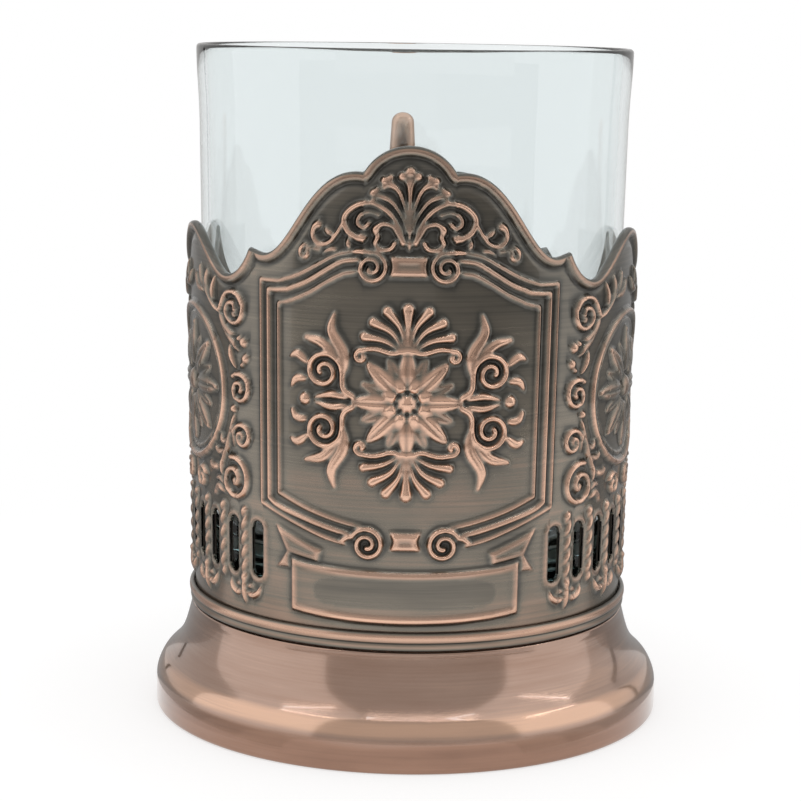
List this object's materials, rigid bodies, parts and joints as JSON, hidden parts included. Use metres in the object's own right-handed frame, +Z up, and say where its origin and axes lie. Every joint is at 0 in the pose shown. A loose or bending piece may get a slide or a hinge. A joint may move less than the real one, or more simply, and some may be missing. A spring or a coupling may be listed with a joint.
{
  "type": "tea glass with metal holder",
  "caption": "Clear tumbler standing loose in a stamped copper holder with a wavy beaded edge, raised scroll ornament, pierced slots, flared foot and ear handle; the glass lifts out.",
  "frame": {"origin": "on the ground under the middle of the whole footprint, handle included, so the cup's own axis stands forward of it", "axes": "+Z up, -Y towards the front with the shield panel, +Y towards the handle, +X to the right of someone looking at the front"},
  "size_m": [0.0798, 0.1056, 0.1033],
  "materials": {
    "clear_glass": "clear soda-lime glass with a faint blue-green tint",
    "stamped_copper": "antiqued copper plate, dark in the recesses, rubbed bright on the raised edges, lacquered",
    "spun_copper": "reddish brushed copper plate, satin, lacquered",
    "dull_copper": "dull unpolished copper plate",
    "cast_copper": "antiqued copper plate over a casting, satin"
  },
  "bodies": {
    "holder": {"sleeve": "stamped_copper", "collar_ring": "spun_copper", "base_skirt": "spun_copper", "floor_disc": "dull_copper", "handle": "cast_copper", "handle_rivet_upper_left": "cast_copper", "handle_rivet_upper_right": "cast_copper", "handle_rivet_lower_left": "cast_copper", "handle_rivet_lower_right": "cast_copper"},
    "glass": {"tea_glass": "clear_glass"}
  },
  "joints": [
    {"name": "glass_lift", "type": "slide", "parent": "holder", "child": "glass", "axis": [0, 0, 1], "range_m": [0, 0.08]}
  ]
}
